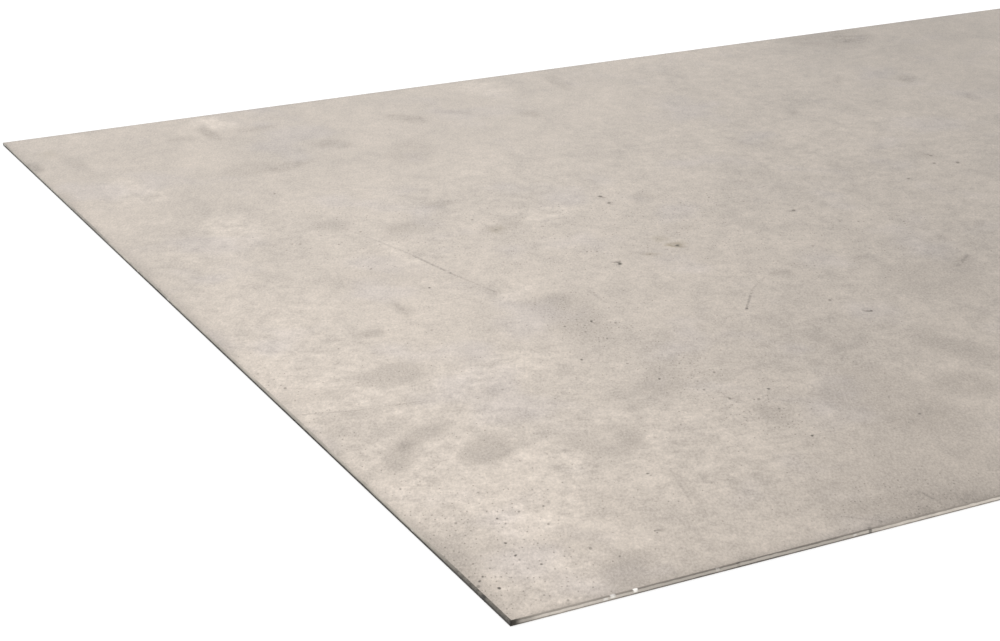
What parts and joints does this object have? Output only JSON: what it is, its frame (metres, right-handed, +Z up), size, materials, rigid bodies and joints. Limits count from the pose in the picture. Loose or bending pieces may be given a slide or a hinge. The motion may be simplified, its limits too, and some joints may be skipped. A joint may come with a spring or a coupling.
{
  "type": "aluminium plate",
  "caption": "Flat rectangular plate of thin rolled aluminium with guillotine-cut edges, raw stock for cutting, drilling, folding or bonding.",
  "frame": {"origin": "centre of the underside, where the plate rests", "axes": "+X along the 1000 mm length, +Y across the 500 mm width, +Z up through the thickness, out of the face with the rolled-over edges"},
  "size_m": [1, 0.5, 0.0015],
  "materials": {
    "aluminium": "dull mill finish, handled and slightly soiled"
  },
  "bodies": {
    "root": {"plate": "aluminium"}
  },
  "joints": []
}
